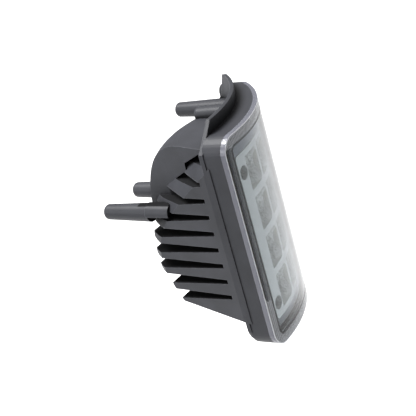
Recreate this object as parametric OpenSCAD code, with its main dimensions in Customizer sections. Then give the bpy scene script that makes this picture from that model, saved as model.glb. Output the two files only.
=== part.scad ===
// Hood light for a tractor: a bent clear lens on a finned die-cast housing with four rear posts.
// X runs from the near side to the far side, Y from the front to the rear, Z up.
// The shapes are drawn from the near top corner of the lens, and placed() then moves the
// middle of the two lower post tips to the origin.

/* [Lens] */
// Width of the lens and of the rim behind it
lens_w = 116; // [106:1:124]
// Height of the lens and of the rim behind it
lens_h = 149; // [146:1:158]
// Radius that the front is bent to, seen from above
bend_r = 121.4; // [118:0.2:150]
// Distance from the near side to the foremost line of the bend
crown_x = 11.6; // [6:0.2:20]
// Corner radius of the lens and the rim
corner_r = 11.5; // [9:0.5:16]
// Thickness of the lens at its edge, which stands proud of the rim
lens_edge = 3.6; // [3:0.1:4.5]
// Thickness of the lens wall in front of the reflector
lens_wall = 2.6; // [2:0.1:3]
// Width of the thick border of the lens
lens_border = 7; // [6:0.5:8]
// Height of the tongue that locates the lens in the rim
tongue_h = 2.6; // [1.5:0.1:3.5]
// Thickness of the sealing bead under the tongue
seal_t = 1; // [0.6:0.1:1.6]

/* [Flange] */
// Distance from the lens front to the front of the flange
flange_y = 16.5; // [15.5:0.1:19]
// Thickness of the flange
flange_t = 2.9; // [2:0.1:4]
// Height of the flange above the rim
flange_h = 8.2; // [5:0.2:12]
// Height of the lip that the flange leaves along the sides and the bottom
flange_lip = 0.6; // [0.4:0.1:2]
// Distance from the near side to the top corner of the flange
flange_in = 16; // [12:0.5:24]

/* [Heat sink] */
// Distance from the lens front to the rear ends of the fins
sink_y = 91; // [88:0.5:94]
// Distance from one slot to the next
slot_pitch = 11.7; // [11:0.1:12.5]
// Height of a slot at its closed front end
slot_front = 3; // [2.4:0.1:4]
// Height of a slot at its open rear end
slot_rear = 8.9; // [7:0.1:9.3]
// Number of slots
slot_count = 8; // [5:1:8]
// Height of the lowest slot above the bottom of the rim
slot_low = 38.2; // [37:0.2:42]
// Distance from the lens front to the closed ends of the slots
slot_y = 25; // [24:0.5:28]
// Angle by which the slots fall towards the rear
slot_drop = 4.2; // [3:0.1:5]
// Angle by which the sides of the heat sink lean inwards
side_lean = 8; // [4:0.5:11]

/* [Rear dome] */
// Distance from the near side to the axis of the dome
dome_x = 56; // [53:0.5:59]
// Largest radius of the dome
dome_r = 88; // [86:0.5:91]
// Width of the round shoulder of the dome
dome_round = 35; // [30:0.5:38]
// Height of the round shoulder of the dome
dome_h = 56; // [52:0.5:60]
// Depth of the flat top of the dome below the rim top
dome_top = 10.5; // [9:0.5:12]

/* [Posts] */
// Distance between the two lower posts
post_gap = 35; // [30:0.5:38]
// Distance from the near side to the nearest lower post
post_x = 12; // [10:0.5:14]
// Depth of the lower posts below the rim top
post_z = 54.7; // [52:0.1:57]
// Distance from the lens front to the tips of the lower posts
post_y = 120; // [112:0.5:130]
// Diameter of a post at its tip
post_d = 10.9; // [9:0.1:12]
// Draft angle of a post
post_draft = 1.6; // [0.5:0.1:2]
// Diameter of the tapped hole in a post tip
tap_d = 5; // [4:0.1:6]
// Depth of the tapped hole in a post tip
tap_depth = 18; // [10:1:20]

/* [Optics] */
// Thickness of the reflector plate and of its cup walls
reflector_t = 1.6; // [1.2:0.1:2]
// Diameter of the recess round a reflector screw
recess_d = 9.4; // [8.5:0.1:9.6]
// Width of an LED strip board
strip_w = 12; // [9:0.5:13]
// Thickness of the folded carrier plate
carrier_t = 3; // [2:0.1:3.5]

/* [Colours] */
// Colour of the powder coated casting
housing_colour = "#4a4c4e"; // [#303030, #4a4c4e, #606264]
// Colour of the clear lens
lens_colour = "#dfe8ee"; // [#dfe8ee, #f4f8fa, #c8d4dc]

/* [Hidden] */

// A small step that carries a cut clear of the face it starts from
cut = 1;
// The widest reach of any helper solid
reach = 400;

// Rim, cavity and groove
cavity_in = lens_border + 1.5;
ledge_y = 14;
groove_in = 2.7;
groove_w = 3;
tongue_in = 3.2;
tongue_w = 2;
groove_depth = tongue_h + seal_t;

// Lens front in plan: its distance behind the foremost line, at a distance x from the near side
function bend(x) = bend_r - sqrt(bend_r * bend_r - (x - crown_x) * (x - crown_x));

// Reflector plate, inside the opening of the bezel
reflector_in = 14.6;
reflector_top = 17.6;
reflector_low = 14;
reflector_front = 4.4;
reflector_gap = 0.5;
bezel_lap = 3;
bezel_t = 2;

// Columns and rows of cups, which fill the plate between its screws
col_count = 3;
row_count = 4;
screw_side = 8.9;
row_edge = 1.5;
cup_pitch_x = (lens_w - 2 * reflector_in - 2 * screw_side) / col_count;
cup_pitch_z = (lens_h - reflector_top - reflector_low - 2 * row_edge) / row_count;
cols = [for (i = [0 : col_count - 1]) lens_w / 2 + 0.5 + (i - 1) * cup_pitch_x];
rows = [for (i = [0 : row_count - 1]) -reflector_top - row_edge - (i + 0.5) * cup_pitch_z];
cup_web = 3;
cell_x = cup_pitch_x - cup_web;
cell_z = cup_pitch_z - cup_web - 2;

// Steps of the carrier plate behind the columns, and the pocket that holds them
step_half = cup_pitch_x / 2;
strip_depth = 16.6;
step_y = [for (x = cols) bend(x + strip_w / 2) + strip_depth];
riser_room = 0.2;
riser_x = [for (i = [0, 1]) cols[i] + step_half - carrier_t - riser_room];
shelf_x = 22;
shelf_y = 18.4;
pocket_near = cols[0] - strip_w / 2 - 1.5;
pocket_far = cols[col_count - 1] + strip_w / 2 + 2.5;
pocket_end = 14.1;
pocket_top = -rows[0] - pocket_end;
pocket_low = -rows[row_count - 1] + pocket_end;
pocket_wall = 3.5;

// Screws
screw_d = 3;
screw_head_d = 6;
screw_head_h = 2.2;
screw_room = 0.2;
boss_d = 8.4;

// Electronics
pad_t = 0.4;
board_t = 1.6;
led_size = 5;
led_h = 0.9;
bay_x0 = 27;
bay_x1 = 67;
bay_top = 21;
bay_low = 62;
bay_y = 64;
driver_boss_h = 5;
driver_y = bay_y - driver_boss_h - board_t;

// Core of the heat sink: its distance in from the sides, and its depth
core_in = 22.5;
core_y = 69;

// Cable inlet and vent, on round bosses between the fins
inlet_x = 56;
inlet_z = -84;
inlet_boss_d = 26;
inlet_d = 16;
inlet_bore = 8;
vent_x = 78;
vent_z = -95;
vent_boss_d = 17;
vent_d = 8;
boss_y = sink_y + 1;

// Posts: [x, z, tip y, root y], lower pair first
upper_x = lens_w - 9;
short_x = upper_x - 34.5;
upper_y = 110.6;
short_y = 68.2;
posts = [
    [post_x, -post_z, post_y, sink_y - 10],
    [post_x + post_gap, -post_z, post_y, sink_y - 10],
    [upper_x, -18.3, upper_y, bend(upper_x) + flange_y],
    [short_x, -9.4, short_y, bend(short_x) + flange_y],
];

// Moves the drawing so that the middle of the two lower post tips is the origin
module placed() {
    translate([-post_x - post_gap / 2, -post_y, post_z]) children();
}

// Points of an arc round a centre, in the plane of the drawing
function arc(cx, cy, r, from, to, n = 10) =
    [for (i = [0 : n]) let (t = from + (to - from) * i / n) [cx + r * cos(t), cy + r * sin(t)]];

// Outline of a rounded rectangle that lies in from the rim outline by an inset on each side
function inset_outline(side, top, bottom, r) = concat(
    arc(side + r, -top - r, r, 180, 90),
    arc(lens_w - side - r, -top - r, r, 90, 0),
    arc(lens_w - side - r, -lens_h + bottom + r, r, 0, -90),
    arc(side + r, -lens_h + bottom + r, r, -90, -180)
);

// Outline of the flange: a lip at the sides and the bottom, and a tall tab with cut corners on top
tab_r = 4;
tab_far = lens_w - 15;
foot_r = corner_r + 4;
flange_outline = concat(
    [[-flange_lip, -9], [flange_in, flange_h]],
    arc(tab_far, flange_h - tab_r, tab_r, 90, 30, 6),
    [[lens_w - 3.5, -corner_r + 1], [lens_w + flange_lip, -corner_r - 5]],
    arc(lens_w - foot_r, -lens_h + foot_r, foot_r + flange_lip, 0, -90),
    arc(foot_r, -lens_h + foot_r, foot_r + flange_lip, -90, -180)
);

// A flat outline in X and Z, drawn out along Y
module prism_y(y0, y1) {
    translate([0, y1, 0]) rotate([90, 0, 0]) linear_extrude(y1 - y0) children();
}

// The round body that has the lens bend as its front, moved back by a distance
module bend_body(back) {
    translate([crown_x, bend_r + back, -reach / 2]) cylinder(r = bend_r, h = reach, $fn = 180);
}

// The layer between two copies of the lens bend, cut to the outline given as a child
module bent_layer(front, back) {
    difference() {
        intersection() {
            prism_y(-5, bend(lens_w + 2) + back + cut) children();
            bend_body(front);
        }
        bend_body(back);
    }
}

// A ring of a bent layer between two insets from the rim outline
module bent_ring(front, back, outer, inner) {
    bent_layer(front, back) difference() {
        polygon(inset_outline(outer, outer, outer, max(corner_r - outer, 2)));
        polygon(inset_outline(inner, inner, inner, max(corner_r - inner, 2)));
    }
}

// A cylinder along +Y
module rod_y(x, z, y0, y1, d) {
    translate([x, y0, z]) rotate([-90, 0, 0]) cylinder(d = d, h = y1 - y0, $fn = 48);
}

// A pan head screw along +Y, with the underside of its head at y
module pan_screw(x, y, z, length) {
    rod_y(x, z, y, y + length, screw_d);
    rod_y(x, z, y - screw_head_h, y, screw_head_d);
}

// The round draft of the fins, turned about an axis along Y, as a solid that keeps what is inside
round_x = 75;
round_z = -lens_h + 56;
round_foot = 115.4;
round_turn = 30.5;
round_shoulder = 71;
round_r = 108;
module fin_round() {
    shoulder_r = round_foot - round_shoulder * tan(round_turn);
    profile = arc(shoulder_r - round_r * cos(round_turn), round_shoulder - round_r * sin(round_turn),
        round_r, round_turn, 70, 12);
    translate([round_x, 0, round_z]) rotate([-90, 0, 0]) rotate_extrude($fn = 120) polygon(concat(
        [[0, 0], [round_foot, 0]], profile, [[0, profile[12][1]]]));
}

// Side profile of the heat sink, in Y and Z
fin_top = 18.5;
fin_fall = 3.4;
belly = lens_h - 132.4;
heel_y = sink_y - 13.5;
sink_profile = [
    [0, -fin_top], [flange_y + flange_t, -fin_top], [47, -fin_top - fin_fall], [sink_y, -40],
    [sink_y, -lens_h + 49], [heel_y + 1, -lens_h + 45], [heel_y, -lens_h + 41],
    [heel_y - 2, -lens_h + 35.5], [heel_y - 6, -lens_h + 29], [0, -lens_h + belly]
];

// Plan of the heat sink, in X and Y
function lean(y) = (y - flange_y) * tan(side_lean);
sink_plan = [
    [-flange_lip, 0], [-flange_lip, flange_y + 4],
    [-flange_lip + lean(sink_y + 10), sink_y + 10],
    [lens_w + flange_lip - lean(sink_y + 10), sink_y + 10],
    [lens_w + flange_lip - lean(50), 50], [lens_w - 20, 0],
];

// The outer shape of the heat sink before its slots are cut
far_shift = 4.3;
module sink_body() {
    intersection() {
        translate([-reach / 2, 0, 0]) rotate([90, 0, 90]) linear_extrude(reach) polygon(sink_profile);
        translate([0, 0, -lens_h]) linear_extrude(lens_h) polygon(sink_plan);
        bend_body(flange_y - 2);
        fin_round();
        translate([lens_w + far_shift, 0, 0]) mirror([1, 0, 0]) fin_round();
    }
}

// The core that the fins stand on, which the slots leave whole
module sink_core() {
    translate([core_in, 0, -lens_h]) cube([lens_w - 2 * core_in, core_y, lens_h]);
}

// The box round the LED pockets, which reaches lower than the fins
module pocket_box() {
    box_x0 = shelf_x;
    box_x1 = pocket_far + 2 * pocket_wall;
    low = -pocket_low - pocket_wall;
    intersection() {
        translate([box_x0, 0, 0]) rotate([90, 0, 90]) linear_extrude(box_x1 - box_x0) polygon([
            [0, -pocket_top], [57, -pocket_top], [57, low + 6], [50, low], [0, low]]);
        bend_body(flange_y - 2);
    }
}

// The wedge between two fins, wider towards the rear
module slot(z) {
    depth = sink_y + 12 - slot_y;
    fall = depth * tan(slot_drop);
    translate([-reach / 2, 0, z]) rotate([90, 0, 90]) linear_extrude(reach) polygon([
        [0, -slot_front / 2], [slot_y, -slot_front / 2], [slot_y + depth, -fall - slot_rear / 2],
        [slot_y + depth, slot_rear / 2 - fall], [slot_y, slot_front / 2], [0, slot_front / 2]]);
}

// The pocket in the dome side, above the first fin
module top_pocket() {
    pocket_y = 47;
    translate([-10, 0, 0]) rotate([90, 0, 90]) linear_extrude(10 + core_in) polygon([
        [flange_y + flange_t, -8.5], [pocket_y, -fin_top - fin_fall], [pocket_y, -fin_top - 8],
        [flange_y + flange_t, -fin_top - 8]]);
}

// The slots that part the fins, cut down to the core from the near, the rear and the far side
module slots() {
    difference() {
        intersection() {
            union() for (i = [0 : slot_count - 1]) slot(-lens_h + slot_low + i * slot_pitch);
            bend_body(slot_y);
        }
        sink_core();
    }
}

// The half space beside the flat near side of the dome
module dome_side() {
    side_x = 2.5;
    side_z = -40;
    side_turn = 16.6;
    side_tilt = 3.5;
    translate([side_x, 0, side_z]) rotate([0, 0, -side_turn]) rotate([0, side_tilt, 0])
        translate([-reach, -reach / 2, -reach / 2]) cube([reach, reach, reach]);
}

// The domed rear body over the driver bay, cut flat on its near and its far side
module dome() {
    flat_r = dome_r - dome_round;
    dome_y = 10;
    low = -dome_top - dome_h;
    shoulder = [for (t = [0 : 6 : 90]) [flat_r + dome_round * cos(t), low + dome_h * sin(t)]];
    difference() {
        intersection() {
            translate([dome_x, dome_y, 0]) rotate_extrude($fn = 96)
                polygon(concat([[0, low]], shoulder, [[0, -dome_top]]));
            bend_body(flange_y + 1);
        }
        dome_side();
        translate([lens_w + far_shift, 0, 0]) mirror([1, 0, 0]) dome_side();
        top_pocket();
    }
}

// A cast post: a drafted round pin with a rounded tip
module post(p) {
    length = p[2] - p[3];
    root_d = post_d + 2 * length * tan(post_draft);
    tip_r = 2.6;
    translate([p[0], p[2], p[1]]) rotate([90, 0, 0]) rotate_extrude($fn = 64) polygon(concat(
        [[0, 0]], arc(post_d / 2 - tip_r, tip_r, tip_r, -90, 0, 6), [[root_d / 2, length], [0, length]]));
}

// The root of the lower near post, which lies on the fin below it
module post_root() {
    root_y = 63;
    root_d = post_d + 2 * (post_y - core_y) * tan(post_draft);
    root_low = 0.8;
    intersection() {
        rod_y(post_x, -post_z, root_y, sink_y - 9, root_d);
        translate([-reach / 2, 0, -post_z - root_low]) cube(reach);
    }
}

// Places of the reflector screws: [x, z]
spot_in = 5.6;
spot_near = reflector_in + spot_in;
spot_far = lens_w - reflector_in - spot_in + 0.8;
spot_high = rows[0] + 3.1;
spot_low = rows[row_count - 1] - 5.7;
reflector_spots = [for (x = [spot_near, spot_far], z = [spot_high, spot_low]) [x, z]];
recess_depth = 7;
recess_boss_h = 2;
function recess_floor(x) = bend(x) + reflector_front + recess_depth;
reflector_screw_l = 9;

// The space inside the housing: a bent recess for the optics, and stepped seats for the carrier plate
module cavity() {
    bent_layer(-3, ledge_y) polygon(inset_outline(cavity_in, cavity_in, cavity_in, 4));
    difference() {
        union() {
            translate([0, 0, -pocket_low]) linear_extrude(pocket_low - pocket_top) polygon([
                [shelf_x, 0], [shelf_x, shelf_y], [pocket_near, shelf_y],
                [pocket_near, step_y[0] + carrier_t], [riser_x[0], step_y[0] + carrier_t],
                [riser_x[0], step_y[1] + carrier_t], [riser_x[1], step_y[1] + carrier_t],
                [riser_x[1], step_y[2] + carrier_t], [pocket_far, step_y[2] + carrier_t],
                [pocket_far, 0]]);
            for (s = reflector_spots)
                rod_y(s[0], s[1], 0, recess_floor(s[0]) + reflector_t + recess_boss_h, recess_d + 5.6);
        }
        for (s = reflector_spots) rod_y(s[0], s[1], recess_floor(s[0]) + reflector_t, sink_y, boss_d);
    }
}

// Places of the carrier plate screws: [x, z, y of the plate front]
carrier_spots = [for (i = [0 : col_count - 1], z = [-pocket_top - 4.7, -pocket_low + 4.7])
    [cols[i], z, step_y[i]]];
carrier_screw_l = 9;

// Places of the strip board screws: [x, z, y of the board front]
strip_front = [for (y = step_y) y - pad_t - board_t];
strip_spots = [for (i = [0 : col_count - 1], k = [0, 2])
    [cols[i], (rows[k] + rows[k + 1]) / 2, strip_front[i]]];
strip_screw_l = 4.6;

// Places of the driver board screws: [x, z]
driver_in = 4;
driver_xs = [bay_x0 + driver_in, bay_x1 - driver_in];
driver_zs = [-bay_top - driver_in, -bay_low + driver_in];
driver_spots = [for (x = driver_xs, z = driver_zs) [x, z]];
driver_screw_l = 5.6;

// Leads from the driver to the near strip board, beside its upper screw
lead_d = 1.6;
lead_hole = 6;
lead_side = 4.8;
lead_x = cols[0] + lead_side;
lead_z = (rows[0] + rows[1]) / 2;
lead_zs = [lead_z - 1.25, lead_z + 1.25];

// The driver bay, and the wire duct from it to the cable inlet and the vent
duct_w = 12;
duct_y = 60;
duct_low = vent_z - 5;
module bay() {
    difference() {
        translate([bay_x0, shelf_y, -bay_low])
            cube([bay_x1 - bay_x0, bay_y - shelf_y, bay_low - bay_top]);
        for (s = driver_spots) rod_y(s[0], s[1], bay_y - driver_boss_h, bay_y + cut, 6.4);
    }
    translate([inlet_x - duct_w / 2, shelf_y, duct_low])
        cube([duct_w, duct_y - shelf_y, cut - bay_low - duct_low]);
    translate([inlet_x - duct_w / 2, shelf_y, duct_low])
        cube([vent_x + duct_w - inlet_x, duct_y - shelf_y, 10]);
}

// The holes that screws, inlet and vent need in the housing
module housing_holes() {
    hole = screw_d + screw_room;
    for (p = posts) rod_y(p[0], p[1], p[2] - tap_depth, p[2] + cut, tap_d);
    for (s = reflector_spots)
        rod_y(s[0], s[1], recess_floor(s[0]), recess_floor(s[0]) + reflector_screw_l + 1, hole);
    for (s = carrier_spots) rod_y(s[0], s[1], s[2], s[2] + carrier_screw_l + 1, hole);
    for (s = driver_spots) rod_y(s[0], s[1], bay_y - driver_boss_h - cut, bay_y + 2, hole);
    rod_y(inlet_x, inlet_z, duct_y - cut, boss_y, inlet_bore);
    rod_y(inlet_x, inlet_z, boss_y - inlet_thread_l - 1, boss_y + cut, inlet_d);
    rod_y(vent_x, vent_z, duct_y - cut, boss_y, vent_d / 2);
    rod_y(vent_x, vent_z, boss_y - vent_thread_l - 1, boss_y + cut, vent_d);
}

module housing() {
    placed() color(housing_colour) difference() {
        union() {
            bent_layer(lens_edge, flange_y + 1) polygon(inset_outline(0, 0, 0, corner_r));
            bent_layer(flange_y, flange_y + flange_t) polygon(flange_outline);
            difference() {
                sink_body();
                slots();
            }
            difference() {
                dome();
                intersection() {
                    slots();
                    sink_body();
                    translate([-reach / 2, 0, -reach]) cube([reach / 2 + core_in, reach, reach]);
                }
            }
            pocket_box();
            for (p = posts) post(p);
            post_root();
            rod_y(inlet_x, inlet_z, core_y - 4, boss_y, inlet_boss_d);
            rod_y(vent_x, vent_z, core_y - 4, boss_y, vent_boss_d);
        }
        cavity();
        bay();
        bent_ring(lens_edge - cut, lens_edge + groove_depth, groove_in, groove_in + groove_w);
        housing_holes();
    }
}

module lens() {
    placed() color(lens_colour) union() {
        difference() {
            bent_layer(0, lens_edge) polygon(inset_outline(0, 0, 0, corner_r));
            bent_layer(lens_wall, lens_edge + cut)
                polygon(inset_outline(lens_border, lens_border, lens_border, 5));
        }
        bent_ring(lens_edge - 0.5, lens_edge + tongue_h, tongue_in, tongue_in + tongue_w);
    }
}

module lens_seal() {
    placed() color("#26282a")
        bent_ring(lens_edge + tongue_h, lens_edge + groove_depth, groove_in, groove_in + groove_w);
}

// The grey mask between the rim and the reflector, with a rebate that the reflector plate lies in
module bezel() {
    room = 0.6;
    edge = cavity_in + room;
    wall = 1.6;
    open = reflector_in - reflector_gap;
    open_top = reflector_top - reflector_gap;
    open_low = reflector_low - reflector_gap;
    back = reflector_front + reflector_t;
    placed() color("#7d8186") difference() {
        union() {
            bent_layer(reflector_front + 0.2, back + bezel_t) difference() {
                polygon(inset_outline(edge, edge, edge, 3.4));
                polygon(inset_outline(open, open_top, open_low, 2));
            }
            bent_layer(back, back + bezel_t) difference() {
                polygon(inset_outline(edge, edge, edge, 3.4));
                polygon(inset_outline(open + bezel_lap, open_top + bezel_lap, open_low + bezel_lap, 2));
            }
            bent_layer(back, ledge_y) difference() {
                polygon(inset_outline(edge, edge, edge, 3.4));
                polygon(inset_outline(edge + wall, edge + wall, edge + wall, 2));
            }
        }
        for (s = reflector_spots) rod_y(s[0], s[1], 0, sink_y, recess_d + 2 * reflector_t + 1);
    }
}

// Bowl of one cup: a parabola turned about the axis through its LED
cup_r = 15.5;
cup_hole_r = 4.2;
cup_depth = 12.4;
cup_back = [for (y = strip_front) y - 0.1];
function cup_radius(t) =
    sqrt(cup_hole_r * cup_hole_r + (cup_r * cup_r - cup_hole_r * cup_hole_r) * t / cup_depth);
module bowl(x, z, y, wall) {
    n = 10;
    top = 2 * cup_depth;
    translate([x, y, z]) rotate([90, 0, 0]) rotate_extrude($fn = 48) polygon(concat(
        [[0, 0]], [for (i = [0 : n]) let (t = top * i / n) [cup_radius(t) + wall, t]], [[0, top]]));
}

// The upright block that a cup is cut from, grown by a wall on each side
cell_wall = 1.4;
module cell_block(x, z, wall) {
    translate([x - cell_x / 2 - wall, -10, z - cell_z / 2 - wall])
        cube([cell_x + 2 * wall, sink_y, cell_z + 2 * wall]);
}

module reflector() {
    placed() color("#c9ccd0") difference() {
        union() {
            bent_layer(reflector_front, reflector_front + reflector_t)
                polygon(inset_outline(reflector_in, reflector_top, reflector_low, 2));
            intersection() {
                bend_body(reflector_front + 0.4);
                for (i = [0 : col_count - 1], z = rows) intersection() {
                    bowl(cols[i], z, cup_back[i] - 0.1, reflector_t);
                    cell_block(cols[i], z, cell_wall);
                }
            }
            for (s = reflector_spots) intersection() {
                rod_y(s[0], s[1], 0, recess_floor(s[0]) + reflector_t, recess_d + 2 * reflector_t);
                bend_body(reflector_front + 0.4);
            }
        }
        for (i = [0 : col_count - 1], z = rows) intersection() {
            bowl(cols[i], z, cup_back[i], 0);
            cell_block(cols[i], z, 0);
        }
        for (s = reflector_spots) {
            rod_y(s[0], s[1], -10, recess_floor(s[0]), recess_d);
            rod_y(s[0], s[1], 0, recess_floor(s[0]) + 5, screw_d + screw_room);
        }
    }
}

module reflector_screws() {
    placed() color("#3b3d40") for (s = reflector_spots)
        pan_screw(s[0], recess_floor(s[0]), s[1], reflector_screw_l);
}

// The folded plate that carries the LED strips and closes the driver bay
module carrier_plate() {
    room = 0.5;
    half = cup_pitch_x / 2;
    x0 = pocket_near + room;
    x1 = cols[0] + half;
    x2 = cols[1] + half;
    x3 = pocket_far - room;
    t = carrier_t;
    low = -pocket_low + room;
    high = -pocket_top - room;
    placed() color("#a9adb1") difference() {
        translate([0, 0, low]) linear_extrude(high - low) polygon([
            [x0, step_y[0]], [x1, step_y[0]], [x1, step_y[1]], [x2, step_y[1]], [x2, step_y[2]],
            [x3, step_y[2]], [x3, step_y[2] + t], [x2 - t, step_y[2] + t], [x2 - t, step_y[1] + t],
            [x1 - t, step_y[1] + t], [x1 - t, step_y[0] + t], [x0, step_y[0] + t]]);
        for (s = carrier_spots) rod_y(s[0], s[1], s[2] - cut, s[2] + 2 * t, screw_d + screw_room);
        for (s = strip_spots) rod_y(s[0], s[1], s[2], s[2] + 4 * t, screw_d + screw_room);
        rod_y(lead_x, lead_z, step_y[0] - cut, step_y[0] + 2 * t, lead_hole);
    }
}

module carrier_screws() {
    placed() color("#b9bcbf") for (s = carrier_spots) pan_screw(s[0], s[2], s[1], carrier_screw_l);
}

strip_end = 5.5;
strip_high = rows[0] + strip_end;
strip_low = rows[row_count - 1] - strip_end;

module strip_plate(i, y, t) {
    difference() {
        translate([cols[i] - strip_w / 2, y, strip_low]) cube([strip_w, t, strip_high - strip_low]);
        for (s = strip_spots) rod_y(s[0], s[1], y - cut, y + t + cut, screw_d + screw_room);
        for (z = lead_zs) rod_y(cols[i] + lead_side, z, y - cut, y + t + cut, lead_d + 0.3);
    }
}

module thermal_pads() {
    placed() color("#8fa3b8") for (i = [0 : col_count - 1]) strip_plate(i, step_y[i] - pad_t, pad_t);
}

module led_strip(i) {
    placed() color("#e8e8e2") strip_plate(i, strip_front[i], board_t);
}

module led_strip_near() {
    led_strip(0);
}

module led_strip_middle() {
    led_strip(1);
}

module led_strip_far() {
    led_strip(2);
}

module leds() {
    placed() color("#d9c96a") for (i = [0 : col_count - 1], z = rows) {
        translate([cols[i] - led_size / 2, strip_front[i] - led_h, z - led_size / 2])
            cube([led_size, led_h, led_size]);
        rod_y(cols[i], z, strip_front[i] - led_h - 0.6, strip_front[i] - led_h, 3.6);
    }
}

module strip_screws() {
    placed() color("#b9bcbf") for (s = strip_spots) pan_screw(s[0], s[2], s[1], strip_screw_l);
}

board_room = 1;
module driver_board() {
    placed() color("#2f6b45") difference() {
        translate([bay_x0 + board_room, driver_y, -bay_low + board_room])
            cube([bay_x1 - bay_x0 - 2 * board_room, board_t, bay_low - bay_top - 2 * board_room]);
        for (s = driver_spots) rod_y(s[0], s[1], driver_y - cut, bay_y, screw_d + screw_room);
    }
}

module driver_screws() {
    placed() color("#b9bcbf") for (s = driver_spots) pan_screw(s[0], driver_y, s[1], driver_screw_l);
}

// Parts on the driver board, by their distance from the near top corner of the bay
coil_d = 12.6;
coil_h = 7;
coil_bore = 5;
coil_spots = [[29, -10], [29, -23.5]];
module driver_coils() {
    placed() color("#55504a") for (s = coil_spots) difference() {
        rod_y(bay_x0 + s[0], s[1] - bay_top, driver_y - coil_h, driver_y, coil_d);
        rod_y(bay_x0 + s[0], s[1] - bay_top, driver_y - coil_h - cut, driver_y - coil_bore, coil_bore);
    }
}

capacitor_d = 8;
capacitor_h = 11;
capacitor_spots = [[18.4, -6], [18.4, -15], [9.5, -13]];
module driver_capacitors() {
    placed() color("#50617c") for (s = capacitor_spots)
        rod_y(bay_x0 + s[0], s[1] - bay_top, driver_y - capacitor_h, driver_y, capacitor_d);
}

chip_w = 5;
chip_l = 6;
chip_h = 1.6;
chip_spots = [[22, -36], [29, -36], [5, -23]];
module driver_chips() {
    placed() color("#1e1f21") for (s = chip_spots)
        translate([bay_x0 + s[0] - chip_w / 2, driver_y - chip_h, s[1] - bay_top - chip_l / 2])
            cube([chip_w, chip_h, chip_l]);
}

// The header on the driver board, and two leads from it to the near strip board
header_w = 7;
module driver_header() {
    placed() color("#e4ddc8") difference() {
        translate([lead_x - header_w / 2, driver_y - header_w, lead_z - header_w / 2])
            cube([header_w, header_w, header_w]);
        for (z = lead_zs) rod_y(lead_x, z, driver_y - header_w - cut, driver_y - 3, lead_d);
    }
}

module strip_leads() {
    placed() color("#b3342c") for (z = lead_zs)
        rod_y(lead_x, z, strip_front[0] - 0.6, driver_y - 3, lead_d);
}

inlet_thread_l = 9;
inlet_flange_d = 20;
inlet_flange_t = 4;
inlet_seal_t = 1.5;
inlet_nut_d = 19;
inlet_nut_l = 9;

// The screwed cable inlet: a threaded stem with a hexagon, and a bore for the cable
module inlet_gland() {
    face = boss_y + inlet_seal_t;
    placed() color("#2b2d2f") difference() {
        union() {
            rod_y(inlet_x, inlet_z, boss_y - inlet_thread_l, face + 1, inlet_d);
            translate([inlet_x, face, inlet_z]) rotate([-90, 0, 0])
                cylinder(d = inlet_flange_d, h = inlet_flange_t, $fn = 6);
            rod_y(inlet_x, inlet_z, face + inlet_flange_t - 1, face + inlet_flange_t + 6, inlet_d - 2);
        }
        rod_y(inlet_x, inlet_z, 0, face + 40, inlet_bore);
    }
}

module inlet_seal() {
    placed() color("#1c1d1e") difference() {
        rod_y(inlet_x, inlet_z, boss_y, boss_y + inlet_seal_t, inlet_flange_d - 1);
        rod_y(inlet_x, inlet_z, boss_y - cut, boss_y + inlet_seal_t + cut, inlet_d);
    }
}

module inlet_nut() {
    y = boss_y + inlet_seal_t + inlet_flange_t;
    placed() color("#2b2d2f") difference() {
        union() {
            translate([inlet_x, y, inlet_z]) rotate([-90, 0, 0]) cylinder(d = inlet_nut_d, h = 5, $fn = 6);
            rod_y(inlet_x, inlet_z, y + 4, y + inlet_nut_l, inlet_nut_d - 4);
        }
        rod_y(inlet_x, inlet_z, y - cut, y + 6, inlet_d - 2);
        rod_y(inlet_x, inlet_z, y, y + inlet_nut_l + cut, inlet_bore);
    }
}

vent_thread_l = 6;
vent_head_d = 13;
vent_head_h = 4;
vent_seal_t = 1;

// The breather that lets the lamp equalise pressure
module vent_plug() {
    face = boss_y + vent_seal_t;
    placed() color("#1f2122") difference() {
        union() {
            rod_y(vent_x, vent_z, boss_y - vent_thread_l, face + 1, vent_d);
            rod_y(vent_x, vent_z, face, face + vent_head_h, vent_head_d);
        }
        rod_y(vent_x, vent_z, 0, face + vent_head_h - 1.5, 3);
        for (a = [0 : 60 : 300]) translate([vent_x, face + vent_head_h / 2, vent_z]) rotate([0, a, 0])
            translate([vent_head_d / 2, 0, 0]) cube([2, 1.6, 2], center = true);
    }
}

module vent_seal() {
    placed() color("#1c1d1e") difference() {
        rod_y(vent_x, vent_z, boss_y, boss_y + vent_seal_t, vent_head_d - 1);
        rod_y(vent_x, vent_z, boss_y - cut, boss_y + vent_seal_t + cut, vent_d);
    }
}

housing();
lens();
lens_seal();
bezel();
reflector();
reflector_screws();
carrier_plate();
carrier_screws();
thermal_pads();
led_strip_near();
led_strip_middle();
led_strip_far();
leds();
strip_screws();
driver_board();
driver_screws();
driver_coils();
driver_capacitors();
driver_chips();
driver_header();
strip_leads();
inlet_gland();
inlet_seal();
inlet_nut();
vent_plug();
vent_seal();
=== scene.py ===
"""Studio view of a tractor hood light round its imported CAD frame.

The frame's origin is the middle of the lower post tips, +Y points to the rear and +Z up.
Sizes are in millimetres and are turned into metres where they reach Blender.
"""

from math import pi

import bpy
from mathutils import Matrix, Vector

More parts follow.
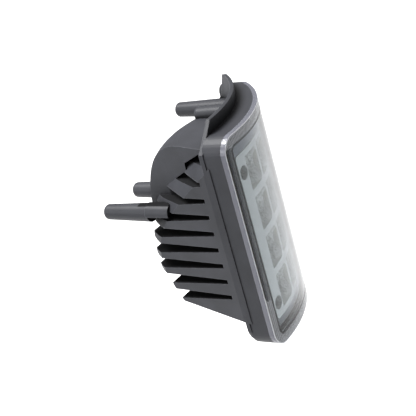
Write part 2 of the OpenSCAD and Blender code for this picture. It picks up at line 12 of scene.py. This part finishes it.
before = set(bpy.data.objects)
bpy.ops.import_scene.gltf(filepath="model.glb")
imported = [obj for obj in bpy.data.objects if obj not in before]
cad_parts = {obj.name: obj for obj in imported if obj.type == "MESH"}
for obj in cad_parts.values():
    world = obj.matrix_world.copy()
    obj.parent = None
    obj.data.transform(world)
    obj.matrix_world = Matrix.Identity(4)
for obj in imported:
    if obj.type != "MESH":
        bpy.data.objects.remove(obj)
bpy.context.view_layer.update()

# Camera
# It stands on the near side, in front and above, rolled as the photo is.
MM = 0.001
CAMERA_AT = (-534.25, -494.4, 266.2)
CAMERA_RIGHT = (0.517, -0.818, -0.254)
CAMERA_UP = (0.449, 0.006, 0.893)
CAMERA_BACK = (-0.729, -0.576, 0.371)
FOCAL_LENGTH = 95.04
SENSOR = 36

camera_data = bpy.data.cameras.new("camera")
camera_data.lens = FOCAL_LENGTH
camera_data.sensor_width = SENSOR
camera = bpy.data.objects.new("camera", camera_data)
bpy.context.scene.collection.objects.link(camera)
turn = Matrix((CAMERA_RIGHT, CAMERA_UP, CAMERA_BACK)).transposed().to_4x4()
camera.matrix_world = Matrix.Translation(Vector(CAMERA_AT) * MM) @ turn
bpy.context.scene.camera = camera

# Studio
# A white paper floor well below the lamp, a surround that is bright above and dim along the horizon and
# behind the camera, and two soft boxes. The camera sees floor and surround as plain white.
FLOOR_Z = -420
FLOOR_SIDE = 9000
PAPER_GRAIN = 3.0
FLOOR_GLOW_CAST = 0.08
FLOOR_GLOW_SEEN = 0.9
HORIZON_LIGHT = 0.12
OVERHEAD_LIGHT = 0.9
BEHIND_CAMERA = 0.16
LAMP_MIDDLE = (28, -60, -18)


def linear(code):
    """Linear RGBA of a hex sRGB colour."""
    parts = [int(code[i:i + 2], 16) / 255 for i in (1, 3, 5)]
    return [c / 12.92 if c <= 0.04045 else ((c + 0.055) / 1.055) ** 2.4 for c in parts] + [1.0]


def new_material(name):
    """An empty node material: its tree, and the tree's output node."""
    material = bpy.data.materials.new(name)
    material.use_nodes = True
    tree = material.node_tree
    tree.nodes.clear()
    return material, tree, tree.nodes.new("ShaderNodeOutputMaterial")


def add(tree, kind, settings=None, **inputs):
    """Adds a node. A setting is an attribute. An input is a value or a socket. Its key is the input's
    name with _ for a space, or the letter i and its number."""
    node = tree.nodes.new("ShaderNode" + kind)
    for key, value in (settings or {}).items():
        setattr(node, key, value)
    for key, value in inputs.items():
        by_number = key[1:].isdigit()
        socket = node.inputs[int(key[1:])] if by_number else node.inputs[key.replace("_", " ")]
        if isinstance(value, bpy.types.NodeSocket):
            tree.links.new(value, socket)
        else:
            socket.default_value = value
    return node


def maths(tree, operation, a, b=0.0):
    """Output of a maths node."""
    return add(tree, "Math", {"operation": operation}, i0=a, i1=b).outputs[0]


def other(tree, value):
    """1 less the value."""
    return maths(tree, "SUBTRACT", 1.0, value)


def step(tree, value, low, high):
    """0 below low, 1 above high, smooth between."""
    node = add(tree, "MapRange", {"interpolation_type": "SMOOTHSTEP"}, Value=value, From_Min=low, From_Max=high)
    return node.outputs[0]


def spread(tree, value, low, high):
    """low where the value is 0, high where it is 1."""
    return add(tree, "MapRange", Value=value, To_Min=low, To_Max=high).outputs[0]


def blend(tree, share, first, second):
    """Colour between first, at share 0, and second, at share 1."""
    return add(tree, "MixRGB", Fac=share, Color1=first, Color2=second).outputs[0]


def place(tree):
    """Object position in millimetres, as a vector socket and its three parts."""
    spot = add(tree, "TexCoord").outputs["Object"]
    scaled = add(tree, "VectorMath", {"operation": "SCALE"}, Vector=spot, Scale=1 / MM).outputs[0]
    parts = add(tree, "SeparateXYZ", Vector=scaled)
    return scaled, [parts.outputs[i] for i in range(3)]


def noise(tree, vector, grain, detail=2.0):
    """Noise whose features are about grain millimetres across."""
    return add(tree, "TexNoise", Vector=vector, Scale=1 / grain, Detail=detail).outputs["Fac"]


def ramp(tree, fac, *stops):
    """Colour ramp through (position, hex colour) stops."""
    node = add(tree, "ValToRGB", Fac=fac)
    marks = node.color_ramp.elements
    while len(marks) < len(stops):
        marks.new(1.0)
    for mark, (position, code) in zip(marks, stops):
        mark.position = position
        mark.color = linear(code)
    return node.outputs[0]


bpy.ops.mesh.primitive_plane_add(size=FLOOR_SIDE * MM, location=(0, 0, FLOOR_Z * MM))
floor = bpy.context.object
floor.name = "floor"
paper, tree, out = new_material("white_paper_floor")
fibre = noise(tree, place(tree)[0], PAPER_GRAIN)
white = ramp(tree, fibre, (0.3, "#f6f6f6"), (0.7, "#fbfbfb"))
seen = add(tree, "LightPath").outputs["Is Camera Ray"]
lift = spread(tree, seen, FLOOR_GLOW_CAST, FLOOR_GLOW_SEEN)
surface = add(tree, "BsdfPrincipled", Base_Color=white, Roughness=0.9,
              Emission_Color=white, Emission_Strength=lift)
tree.links.new(surface.outputs[0], out.inputs[0])
floor.data.materials.append(paper)

world = bpy.data.worlds.new("studio")
bpy.context.scene.world = world
world.use_nodes = True
tree = world.node_tree
tree.nodes.clear()
aim = add(tree, "TexCoord").outputs["Generated"]
to_camera = Vector((CAMERA_BACK[0], CAMERA_BACK[1], 0.1)).normalized()
facing = add(tree, "VectorMath", {"operation": "DOT_PRODUCT"}, i0=aim, i1=to_camera).outputs["Value"]
height = add(tree, "SeparateXYZ", Vector=aim).outputs[2]
above = spread(tree, step(tree, height, 0.1, 0.75), HORIZON_LIGHT, OVERHEAD_LIGHT)
behind = spread(tree, step(tree, facing, 0.1, 0.8), 1.0, BEHIND_CAMERA)
seen = add(tree, "LightPath").outputs["Is Camera Ray"]
glow = maths(tree, "MAXIMUM", maths(tree, "MULTIPLY", above, behind), seen)
sky = add(tree, "Background", Color=(1, 1, 1, 1), Strength=glow)
tree.links.new(sky.outputs[0], add(tree, "OutputWorld").inputs[0])


def soft_box(name, at, side, watts):
    """A square area light that looks at the lamp."""
    light = bpy.data.lights.new(name, "AREA")
    light.size = side * MM
    light.energy = watts
    box = bpy.data.objects.new(name, light)
    box.location = Vector(at) * MM
    box.rotation_euler = (Vector(LAMP_MIDDLE) - Vector(at)).to_track_quat("-Z", "Y").to_euler()
    bpy.context.scene.collection.objects.link(box)


soft_box("top_box", (-200, 450, 1100), 600, 26)
soft_box("side_box", (-950, 650, 350), 600, 5)

bpy.context.scene.view_settings.view_transform = "Standard"

# Housing
# One aluminium die casting in dark grey powder coat: a fine orange peel, rounded edges with a painted
# highlight along them, and painted shade that makes the faces deep in the slots dark and dull.
PEEL_GRAIN = 0.55
PEEL_RELIEF = 0.06
CLOUD_GRAIN = 24.0
EDGE_ROUNDING = 0.5
SHADE_REACH = 26
SLOTS_FRONT = -104
SLOTS_REAR = -31
SLOTS_LOW = -86
SLOTS_HIGH = 24
EDGE_HIGHLIGHT_PAINT = linear("#7b7d83")
SLOT_SHADE_PAINT = linear("#040405")


def band(tree, value, low, high, blur):
    """1 from low to high, 0 outside, with soft ends that are blur wide."""
    after = step(tree, value, low - blur, low)
    return maths(tree, "MULTIPLY", after, other(tree, step(tree, value, high, high + blur)))


def dress(material, *nodes):
    """Gives the material to the CAD nodes."""
    for name in nodes:
        for slot in bpy.data.objects[name].material_slots:
            slot.material = material


housing_coat, tree, out = new_material("powder_coat_dark_grey")
spot, axes = place(tree)
peel = noise(tree, spot, PEEL_GRAIN, 3.0)
coat = ramp(tree, noise(tree, spot, CLOUD_GRAIN), (0.3, "#35363a"), (0.7, "#3e3f44"))
rounding = add(tree, "Bevel", {"samples": 6}, Radius=EDGE_ROUNDING * MM).outputs[0]
flat = add(tree, "NewGeometry").outputs["Normal"]
turned = add(tree, "VectorMath", {"operation": "DOT_PRODUCT"}, i0=rounding, i1=flat).outputs["Value"]
# Painted highlight: the coat turns lighter where the rounded edge's normal leans away from the face's own.
painted_edge_highlight = other(tree, step(tree, turned, 0.8, 0.985))
# Painted shade: faces that the occlusion finds hidden, and level faces among the fins, turn near black and
# rough.
open_sky = add(tree, "AmbientOcclusion", {"samples": 8}, Distance=SHADE_REACH * MM).outputs["AO"]
painted_hollow_shade = other(tree, step(tree, open_sky, 0.38, 0.86))
upright = add(tree, "SeparateXYZ", Vector=flat).outputs[2]
level_face = step(tree, maths(tree, "ABSOLUTE", upright), 0.8, 0.93)
among_fins = maths(tree, "MULTIPLY", band(tree, axes[1], SLOTS_FRONT, SLOTS_REAR, 1.0),
                   band(tree, axes[2], SLOTS_LOW, SLOTS_HIGH, 1.0))
painted_slot_shade = maths(tree, "MULTIPLY", maths(tree, "MULTIPLY", level_face, among_fins), 0.9)
painted_shade = maths(tree, "MAXIMUM", painted_hollow_shade, painted_slot_shade)
coat_and_painted_highlight = blend(tree, maths(tree, "MULTIPLY", painted_edge_highlight, 0.55), coat, EDGE_HIGHLIGHT_PAINT)
coat_with_painted_shade = blend(tree, painted_shade, coat_and_painted_highlight, SLOT_SHADE_PAINT)
bumped = add(tree, "Bump", Strength=0.35, Distance=PEEL_RELIEF * MM, Height=peel, Normal=rounding).outputs[0]
rough = maths(tree, "MAXIMUM", spread(tree, peel, 0.36, 0.5), painted_shade)
surface = add(tree, "BsdfPrincipled", Base_Color=coat_with_painted_shade, Roughness=rough, Normal=bumped,
              Specular_IOR_Level=0.2)
tree.links.new(surface.outputs[0], out.inputs[0])
dress(housing_coat, "housing")

# Lens
# One moulding of clear polycarbonate. Its wall is frosted and catches the light. Its border has a painted
# highlight along its outer edge, a painted shadow line where the groove lies inside, fine ribs along the top
# drawn as painted light and dark stripes, and a frosted foot.
LENS_MIDDLE = (28.5, -19.8)
LENS_HALF = (58, 74.5)
LENS_CORNER = 11.5
LENS_HEAD_ON = 0.015
LIMB_POWER = 4.0
BORDER_IN = 6.3
GROOVE_SHADOW_OUT = 6.9
GROOVE_SHADOW_IN = 7.9
EDGE_GLINT_WIDTH = 0.5
RIB_PITCH = 1.7
RIBS_LOW = 46.8
FOOT_TOP = -58
WALL_FROST = linear("#787984")


def inset(tree, axes):
    """Distance in millimetres from the outline of the lens inwards, in the plane of X and Z: that of a
    rectangle with round corners."""
    past = []
    for value, middle, half in zip((axes[0], axes[2]), LENS_MIDDLE, LENS_HALF):
        from_middle = maths(tree, "ABSOLUTE", maths(tree, "SUBTRACT", value, middle))
        past.append(maths(tree, "SUBTRACT", from_middle, half - LENS_CORNER))
    squares = [maths(tree, "POWER", maths(tree, "MAXIMUM", value, 0.0), 2.0) for value in past]
    corner = maths(tree, "SQRT", maths(tree, "ADD", *squares))
    straight = maths(tree, "MINIMUM", maths(tree, "MAXIMUM", *past), 0.0)
    return maths(tree, "SUBTRACT", LENS_CORNER, maths(tree, "ADD", corner, straight))


def shader_mix(tree, share, first, second):
    """Shader between first, at share 0, and second, at share 1."""
    return add(tree, "MixShader", Fac=share, i1=first, i2=second).outputs[0]


lens_clear, tree, out = new_material("clear_polycarbonate")
spot, axes = place(tree)
inwards = inset(tree, axes)
normal = add(tree, "SeparateXYZ", Vector=add(tree, "NewGeometry").outputs["Normal"])
near_side = step(tree, maths(tree, "MULTIPLY", normal.outputs[0], -1.0), 0.45, 0.75)
far_side = step(tree, normal.outputs[0], 0.9, 0.96)
ends = step(tree, maths(tree, "ABSOLUTE", normal.outputs[2]), 0.3, 0.6)
wall = maths(tree, "MAXIMUM", maths(tree, "MAXIMUM", near_side, far_side), ends)
on_face = other(tree, wall)

slant = maths(tree, "POWER", add(tree, "LayerWeight", Blend=0.5).outputs["Facing"], LIMB_POWER)
mirror = spread(tree, slant, LENS_HEAD_ON, 1.0)
clear = add(tree, "BsdfTransparent", Color=linear("#eef1f4")).outputs[0]
gloss = add(tree, "BsdfGlossy", Color=(1, 1, 1, 1), Roughness=0.12).outputs[0]
face = shader_mix(tree, mirror, clear, gloss)

# Painted light and shade: the ribs have no relief of their own; lighter crests and darker troughs are drawn in
# the frost's colour.
wave = maths(tree, "SINE", maths(tree, "MULTIPLY", axes[0], 2 * pi / RIB_PITCH))
crest = maths(tree, "ADD", maths(tree, "MULTIPLY", wave, 0.5), 0.5)
rib_light_and_shade = ramp(tree, crest, (0.0, "#8e9197"), (0.5, "#c3c6cb"))
frost_tone = blend(tree, wall, rib_light_and_shade, WALL_FROST)
frost = add(tree, "BsdfPrincipled", Base_Color=frost_tone, Roughness=0.24, Transmission_Weight=0.25).outputs[0]
above_ribs = step(tree, axes[2], RIBS_LOW, RIBS_LOW + 0.8)
below_foot = other(tree, step(tree, axes[2], FOOT_TOP - 2, FOOT_TOP + 1))
border = other(tree, step(tree, inwards, BORDER_IN, BORDER_IN + 0.5))
border_frost = maths(tree, "MULTIPLY", border, maths(tree, "MAXIMUM", above_ribs, below_foot))
veil = maths(tree, "MAXIMUM", maths(tree, "MULTIPLY", wall, 0.9), maths(tree, "MULTIPLY", border_frost, 0.6))
frosted = shader_mix(tree, veil, face, frost)

# Painted shadow: a dark line inside the border where the groove lies, on the face of the lens.
painted_groove_shadow = maths(tree, "MULTIPLY", band(tree, inwards, GROOVE_SHADOW_OUT, GROOVE_SHADOW_IN, 0.4), on_face)
shade = add(tree, "BsdfPrincipled", Base_Color=linear("#1b1c1f"), Roughness=0.35).outputs[0]
with_groove_shadow = shader_mix(tree, maths(tree, "MULTIPLY", painted_groove_shadow, 0.85), frosted, shade)
# Painted highlight: a bright line along the outer edge of the border.
painted_edge_glint = maths(tree, "MULTIPLY", other(tree, step(tree, inwards, EDGE_GLINT_WIDTH, EDGE_GLINT_WIDTH + 0.6)), on_face)
glint = add(tree, "BsdfPrincipled", Base_Color=linear("#eceef4"), Roughness=0.2).outputs[0]
with_edge_glint = shader_mix(tree, maths(tree, "MULTIPLY", painted_edge_glint, 0.85), with_groove_shadow, glint)
tree.links.new(with_edge_glint, out.inputs[0])
dress(lens_clear, "lens")

# Bezel
# A mid grey moulded mask with a satin grain, near black along a strip on its near side.
GRAIN = 0.3
GRAIN_RELIEF = 0.03
BLACK_FROM = -19.0
BLACK_TO = -15.2

bezel_grey, tree, out = new_material("satin_grey_moulding")
spot, axes = place(tree)
near_strip = band(tree, axes[0], BLACK_FROM, BLACK_TO, 0.3)
tone = blend(tree, near_strip, linear("#85888d"), linear("#08080a"))
grain = noise(tree, spot, GRAIN)
bumped = add(tree, "Bump", Strength=0.2, Distance=GRAIN_RELIEF * MM, Height=grain).outputs[0]
surface = add(tree, "BsdfPrincipled", Base_Color=tone, Roughness=0.42, Normal=bumped)
tree.links.new(surface.outputs[0], out.inputs[0])
dress(bezel_grey, "bezel")

# Reflector
# A moulded plate, vacuum metallised: hazy and slightly wavy on its flat front, polished and cut into
# facets in the cups, which lie deeper behind the lens than the plate does.
BEND_MIDDLE = (-17.9, 1.4)
BEND_RADIUS = 121.4
CUPS_FROM = 6.4
HAZE_GRAIN = 2.6
WAVE_PITCH = 2.381
WAVE_RELIEF = 0.12
FACET_PITCH = 2.0
FACET_RELIEF = 0.9


def depth_behind_lens(tree, axes):
    """Distance in millimetres behind the bent front of the lens: the bend's radius less the distance
    from its axis."""
    squares = [maths(tree, "POWER", maths(tree, "SUBTRACT", axes[i], BEND_MIDDLE[i]), 2.0) for i in (0, 1)]
    return maths(tree, "SUBTRACT", BEND_RADIUS, maths(tree, "SQRT", maths(tree, "ADD", *squares)))


metallised, tree, out = new_material("metallised_reflector")
spot, axes = place(tree)
in_cup = step(tree, depth_behind_lens(tree, axes), CUPS_FROM, CUPS_FROM + 0.6)
wavy = add(tree, "TexVoronoi", {"feature": "SMOOTH_F1"}, Vector=spot, Scale=1 / WAVE_PITCH).outputs["Distance"]
facet = add(tree, "TexVoronoi", {"feature": "F1"}, Vector=spot, Scale=1 / FACET_PITCH).outputs["Distance"]
waves = add(tree, "Bump", Strength=0.12, Distance=WAVE_RELIEF * MM, Height=wavy).outputs[0]
facets = add(tree, "Bump", Strength=0.9, Distance=FACET_RELIEF * MM, Height=facet).outputs[0]
bumped = add(tree, "Mix", {"data_type": "VECTOR"}, Factor=in_cup, i4=waves, i5=facets).outputs[1]
haze = spread(tree, noise(tree, spot, HAZE_GRAIN), 0.16, 0.3)
polish = maths(tree, "MULTIPLY", haze, other(tree, maths(tree, "MULTIPLY", in_cup, 0.75)))
surface = add(tree, "BsdfPrincipled", Base_Color=linear("#e0e0d9"), Metallic=0.4, Roughness=polish,
              Normal=bumped)
tree.links.new(surface.outputs[0], out.inputs[0])
dress(metallised, "reflector")

# LEDs
# Twelve packages: yellow phosphor under clear domes.
PHOSPHOR_GRAIN = 0.5

phosphor, tree, out = new_material("yellow_phosphor")
mottle = ramp(tree, noise(tree, place(tree)[0], PHOSPHOR_GRAIN), (0.3, "#c9b23c"), (0.7, "#e2d06a"))
surface = add(tree, "BsdfPrincipled", Base_Color=mottle, Roughness=0.25, Coat_Weight=0.8, Coat_Roughness=0.05)
tree.links.new(surface.outputs[0], out.inputs[0])
dress(phosphor, "leds")

# Inner parts, seals and fittings
# Boards, pads, sheet, screws, driver parts and leads behind the reflector, the foam and rubber seals,
# and the nylon inlet and vent at the rear. Each has a two-tone finish with a slight relief.


def plain_finish(name, low, high, grain, roughness, metallic=0.0, relief=0.02):
    """A noise colour from low to high with a slight bump, its grain and relief in millimetres."""
    material, tree, out = new_material(name)
    fleck = noise(tree, place(tree)[0], grain, 3.0)
    tone = ramp(tree, fleck, (0.3, low), (0.7, high))
    bumped = add(tree, "Bump", Strength=0.3, Distance=relief * MM, Height=fleck).outputs[0]
    surface = add(tree, "BsdfPrincipled", Base_Color=tone, Roughness=roughness, Metallic=metallic,
                  Normal=bumped)
    tree.links.new(surface.outputs[0], out.inputs[0])
    return material


dress(plain_finish("white_solder_mask", "#dcdcd4", "#e8e8e2", 0.8, 0.35),
      "led_strip_near", "led_strip_middle", "led_strip_far")
dress(plain_finish("green_solder_mask", "#1f5a37", "#2a6b44", 0.9, 0.3), "driver_board")
dress(plain_finish("silicone_pad", "#7f93a8", "#8fa3b8", 0.6, 0.8), "thermal_pads")
dress(plain_finish("bare_aluminium_sheet", "#9ea2a6", "#aeb2b6", 0.4, 0.35, 1.0), "carrier_plate")
dress(plain_finish("zinc_plated_steel", "#a9acae", "#c0c3c5", 0.5, 0.3, 1.0),
      "carrier_screws", "strip_screws", "driver_screws")
dress(plain_finish("ferrite_grey", "#3d3a36", "#4b4742", 0.3, 0.7), "driver_coils")
dress(plain_finish("capacitor_sleeve", "#39475c", "#44546c", 0.8, 0.35), "driver_capacitors")
dress(plain_finish("chip_mould_black", "#17181a", "#222325", 0.2, 0.55), "driver_chips")
dress(plain_finish("natural_nylon", "#d9d2bc", "#e6dfcb", 0.6, 0.4), "driver_header")
dress(plain_finish("red_insulation", "#9c2a22", "#b3342c", 0.7, 0.35), "strip_leads")
dress(plain_finish("black_foam_seal", "#131415", "#1d1e20", 0.25, 0.85), "lens_seal", "inlet_seal", "vent_seal")
dress(plain_finish("black_nylon", "#202224", "#2c2e31", 0.45, 0.45, 0.0, 0.04),
      "inlet_gland", "inlet_nut", "vent_plug")
dress(plain_finish("blackened_steel", "#26272a", "#3a3b3f", 0.35, 0.4, 0.7), "reflector_screws")
